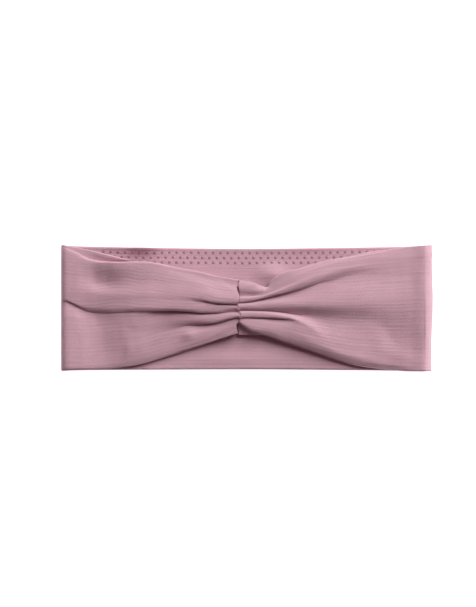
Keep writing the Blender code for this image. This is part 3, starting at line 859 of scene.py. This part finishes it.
def elastic_surface():
    made, tree, shader, along, across = blank("elastic", 0.7)
    cords = wave(tree, across, CORD_PITCH)
    weft = wave(tree, along, WEFT_PITCH)
    wear = blotches(tree, along, across, 2.5, 1.5, 2.0)
    share = weighted(tree, 0.3, (cords, 0.2), (weft, 0.1), (wear, 0.4))
    colour = blend_colour(tree, share, (0.42, 0.27, 0.31), (0.66, 0.5, 0.54))
    tree.links.new(colour, shader.inputs["Base Color"])
    tree.links.new(weighted(tree, 0.6, (wear, 0.25)), shader.inputs["Roughness"])
    bump(tree, shader, weighted(tree, 0.5, (cords, 0.4), (weft, 0.25)), 0.12)
    shader.inputs["Sheen Weight"].default_value = 0.15
    return made


shell_cloth = knit("shell_cloth")
lining_cloth = knit("lining_cloth")
silicone = silicone_surface()
thread = thread_surface()
elastic = elastic_surface()

# ---------------------------------------------------------------- the two sides, and each piece's placement baked into its mesh
SIDES = {"left": -1, "right": 1}


def bend_front(piece):
    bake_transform(piece)


def bend_back(piece):
    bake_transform(piece)


# ---------------------------------------------------------------- edge threads
THREAD_RADIUS = 0.14
THREAD_SINK = 0.06  # from a lining's face inside the loop to the thread's middle
THREAD_TO_SEAM = 1.6
THREAD_TO_FOLD = 0.5
THREAD_TO_MIDDLE = 0.2
STITCH_PITCH = 1.7
STITCH_REACH = 0.42
STITCH_RISE = 0.02
STITCH_POINTS = 6  # along one stitch


def stitched_path(x, edge, inward, level):
    """Overcast stitches that close a turned edge, as points about an edge curve on a face at a level."""
    phase = (x - x[0]) * 2 * math.pi / STITCH_PITCH
    y = curve(edge, x) - inward * (HEM_TURN + STITCH_REACH * np.sin(phase))
    return np.stack((x, y, level(x, y) + STITCH_RISE * np.cos(phase)), 1)


def edge_thread(name, edge, inward, level, x_from, x_to, nodes):
    count = int(abs(x_to - x_from) / STITCH_PITCH * STITCH_POINTS)
    path = stitched_path(np.linspace(x_from, x_to, count), edge, inward, level)
    piece = tube(name, path, THREAD_RADIUS, thread)
    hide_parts(nodes)
    return piece


def edge_threads(name, side):
    """The threads of one side of the band, by half and edge."""

    def front_level(x, y):
        return 2 * MID_Z - HALF_STACK - THREAD_SINK - droop(side, x, y)

    def back_level(x, y):
        return HALF_STACK + THREAD_SINK + mounds(BACK_WAVES, x, y)

    lines = FRONT_LINES[side]
    far = side * (FOLD_X - THREAD_TO_FOLD)
    made = {}
    for edge, inward, front_edge, back_edge in (
        ("top", 1, lines[1].path, BACK_TOP), ("bottom", -1, lines[-2].path, BACK_BOTTOM),
    ):
        piece = edge_thread(
            "edge_stitches_front_" + name + "_" + edge, front_edge, inward, front_level,
            SEAM_X + side * THREAD_TO_SEAM, far, "edge_thread_front_" + name + "_" + edge,
        )
        bend_front(piece)
        made["front", edge] = piece
        piece = edge_thread(
            "edge_stitches_back_" + name + "_" + edge, back_edge, inward, back_level,
            side * THREAD_TO_MIDDLE, far, "edge_thread_back_" + edge,
        )
        bend_back(piece)
        made["back", edge] = piece
    return made


threads = {name: edge_threads(name, side) for name, side in SIDES.items()}

# ---------------------------------------------------------------- the cloth pieces
front_grids = {}
for name, side in SIDES.items():
    front_grids[name] = front_grid(side)
    piece = shell("outer_front_" + name + "_cloth", front_grids[name], shell_cloth, -side)
    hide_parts("outer_front_" + name)
    bend_front(piece)
    piece = shell("lining_front_" + name + "_cloth", lining_grid(side), lining_cloth, side)
    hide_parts("lining_front_" + name)
    bend_front(piece)
    piece = shell("outer_back_" + name + "_cloth", back_grid(side, outer_columns), shell_cloth, -side)
    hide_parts("outer_back")
    bend_back(piece)
    piece = shell("lining_back_" + name + "_cloth", back_grid(side, lining_columns), lining_cloth, side)
    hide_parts("lining_back")
    bend_back(piece)

# ---------------------------------------------------------------- silicone dots
DOT_PITCH = 4.75
DOT_ROWS = (2.95, 6.2, 9.45)  # below the back's top edge
STAGGERED_ROW = 1
DOTS_IN_ROW = 20  # on each side of the middle; one fewer in the staggered row, which has one at the middle
DOT_RADIUS = 1.18
DOT_HEIGHT = 0.13
DOT_SINK = 0.15
DOT_SIDES = 14
# From the foot up, (share of radius, share of height).
DOT_RINGS = ((0.85, -0.02 / DOT_HEIGHT), (1.0, 0.0), (0.93, 0.45), (0.72, 0.8), (0.4, 0.96))


def dot_places(side):
    places = []
    for row, drop in enumerate(DOT_ROWS):
        staggered = row == STAGGERED_ROW
        start = DOT_PITCH if staggered else DOT_PITCH / 2
        for k in range(DOTS_IN_ROW - staggered):
            x = side * (start + k * DOT_PITCH)
            places.append((x, float(curve(BACK_TOP, x)) - drop))
        if staggered and side > 0:
            places.append((0.0, float(curve(BACK_TOP, 0.0)) - drop))
    return places


def dot_faces(base):
    """The faces of one dot whose first point has that number, from its flat foot to its crown."""
    faces = [tuple(base + k for k in reversed(range(DOT_SIDES)))]
    last = base + (len(DOT_RINGS) - 1) * DOT_SIDES
    for here in range(base, last, DOT_SIDES):
        above = here + DOT_SIDES
        for k in range(DOT_SIDES):
            after = (k + 1) % DOT_SIDES
            faces.append((here + k, here + after, above + after, above + k))
    for k in range(DOT_SIDES):
        faces.append((last + k, last + (k + 1) % DOT_SIDES, last + DOT_SIDES))
    return faces


def dots(name, side):
    points, faces = [], []
    angle = np.arange(DOT_SIDES) * 2 * math.pi / DOT_SIDES
    for x, y in dot_places(side):
        faces += dot_faces(len(points))
        low = HALF_STACK - DOT_SINK + float(mounds(BACK_WAVES, x, y))
        for reach, rise in DOT_RINGS:
            level = low + (DOT_HEIGHT + DOT_SINK) * rise
            radius = DOT_RADIUS * reach
            points += [(x + radius * math.cos(turn), y + radius * math.sin(turn), level) for turn in angle]
        points.append((x, y, low + DOT_HEIGHT + DOT_SINK))
    points = np.array(points)
    return solid(name, points, faces, points[:, :2], silicone, 40)


for name, side in SIDES.items():
    piece = dots("grip_dots_" + name, side)
    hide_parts("grip_strip")
    bend_back(piece)

# ---------------------------------------------------------------- seam
ELASTIC_HALF_WIDTH = 3.0
ELASTIC_HALF_LENGTH = 12.0
ELASTIC_LEVEL = 8.32
ELASTIC_THICK = 0.42
ELASTIC_RIBS = 7
ELASTIC_RIB_HEIGHT = 0.07
ELASTIC_RIB_POINTS = 6
ELASTIC_ROWS = 49
ELASTIC_RIPPLE = 0.03
ELASTIC_RIPPLE_RATE = 2.1  # radians to a millimetre


def stay_grid():
    """Points of the stay elastic's upper face, ribbed along its length."""
    across = np.linspace(-1, 1, ELASTIC_RIBS * ELASTIC_RIB_POINTS + 1)
    down = np.linspace(-ELASTIC_HALF_LENGTH, ELASTIC_HALF_LENGTH, ELASTIC_ROWS)[:, None]
    ribs = ELASTIC_RIB_HEIGHT * np.abs(np.cos(across * ELASTIC_RIBS * math.pi / 2)) - ELASTIC_RIB_HEIGHT
    ripple = ELASTIC_RIPPLE * np.sin(down * ELASTIC_RIPPLE_RATE)
    level = ELASTIC_LEVEL + ELASTIC_THICK + ribs + ripple - droop(1, SEAM_X, down)
    return grid_of(SEAM_X + across * ELASTIC_HALF_WIDTH, down, level)


piece = shell("gather_stay_strip", stay_grid(), elastic, 1, ELASTIC_THICK)
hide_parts("gather_stay_elastic")
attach(piece, "front_half")

RUNG_PITCH = 0.8
RUNG_REACH = 0.8
RUNG_RADIUS = 0.17
RUNG_TOP = 2.0
RUNG_BOTTOM = -6.4
RUNG_POINTS = 7
RUNG_SLANT = 0.12
RUNG_RISE = 0.06  # of a rung's middle over the cloth
RUNG_DIP = 0.2  # of its ends under its middle
GATHER_REACH = 14.0  # how far up and down the seam the thread runs
GATHER_SINK = 1.2  # below the cloth's shoulders, where it runs inside the seam
GATHER_POINTS = 8
SHOULDER_ROW = -SEAM_DEPTH_ROWS - 4  # of a front grid, on the roll into the seam
SHOULDER_REACH = 1.2


def groove_level(y):
    """Height of the lower of the seam's two shoulders about y."""
    levels = []
    for grid in front_grids.values():
        row = grid[SHOULDER_ROW]
        levels.append(row[np.abs(row[:, 1] - y) < SHOULDER_REACH, 2].max())
    return min(levels)


def buried_run(start, stop):
    """Points of the gather thread inside the seam."""
    y = np.linspace(start, stop, GATHER_POINTS)
    level = np.array([groove_level(each) for each in y]) - GATHER_SINK
    return np.stack((curve(SEAM_LINE, y), y, level), 1)


def rung(y, way):
    """Points of one stitch across the seam at y: to the right where way is 1, to the left where it is -1."""
    share = np.linspace(-1, 1, RUNG_POINTS) * way
    x = float(curve(SEAM_LINE, y)) + RUNG_REACH * share
    return np.stack((x, y + RUNG_SLANT * share, groove_level(y) + RUNG_RISE - RUNG_DIP * share**2), 1)


runs = [buried_run(GATHER_REACH, RUNG_TOP + RUNG_PITCH)]
for k, y in enumerate(np.arange(RUNG_TOP, RUNG_BOTTOM, -RUNG_PITCH)):
    runs.append(rung(y, 1 if k % 2 else -1))
runs.append(buried_run(RUNG_BOTTOM - RUNG_PITCH, -GATHER_REACH))
piece = tube("gather_stitches", np.concatenate(runs), RUNG_RADIUS, thread)
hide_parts("gather_thread")
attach(piece, "front_half")


# ---------------------------------------------------------------- stage, light and camera
def area_light(name, place, target, size, power):
    data = bpy.data.lights.new(name, "AREA")
    data.shape = "DISK"
    data.size = size
    data.energy = power
    lamp = bpy.data.objects.new(name, data)
    lamp.location = place
    lamp.rotation_euler = (Vector(target) - Vector(place)).to_track_quat("-Z", "Y").to_euler()
    bpy.context.scene.collection.objects.link(lamp)


# In metres from here on.
FLOOR_REACH = 6
FLOOR_GAP = 0.0002  # between the floor and the band

floor_mesh = bpy.data.meshes.new("floor")
floor_corners = [(x * FLOOR_REACH, y * FLOOR_REACH, 0) for x, y in ((-1, -1), (1, -1), (1, 1), (-1, 1))]
floor_mesh.from_pydata(floor_corners, [], [(0, 1, 2, 3)])
floor = bpy.data.objects.new("floor", floor_mesh)
floor.location.z = -FLOOR_GAP
paper = bpy.data.materials.new("floor_paper")
paper.use_nodes = True
paper_shader = paper.node_tree.nodes["Principled BSDF"]
paper_shader.inputs["Base Color"].default_value = (0.92, 0.92, 0.92, 1)
paper_shader.inputs["Roughness"].default_value = 0.9
paper_shader.inputs["Emission Color"].default_value = (1, 1, 1, 1)
paper_shader.inputs["Emission Strength"].default_value = 0.92
floor_mesh.materials.append(paper)
bpy.context.scene.collection.objects.link(floor)

KEY_AZIMUTH = math.radians(37)  # from +Y towards +X
KEY_ELEVATION = math.radians(34)
KEY_DISTANCE = 3.0
KEY_SIZE = 2.2
KEY_POWER = 147
key_place = KEY_DISTANCE * Vector((
    math.sin(KEY_AZIMUTH) * math.cos(KEY_ELEVATION), math.cos(KEY_AZIMUTH) * math.cos(KEY_ELEVATION),
    math.sin(KEY_ELEVATION),
))
area_light("key", key_place, (0, 0, 0), KEY_SIZE, KEY_POWER)
world = bpy.data.worlds.new("studio")
world.use_nodes = True
world.node_tree.nodes["Background"].inputs["Color"].default_value = (1, 0.62, 0.72, 1)
world.node_tree.nodes["Background"].inputs["Strength"].default_value = 0.13
bpy.context.scene.world = world
bpy.context.scene.view_settings.view_transform = "Standard"

camera_data = bpy.data.cameras.new("camera")
camera_data.lens = 135
camera_data.sensor_width = 36
camera = bpy.data.objects.new("camera", camera_data)
camera.location = (-0.0054, 0.0029, 1.4795)
bpy.context.scene.collection.objects.link(camera)
bpy.context.scene.camera = camera
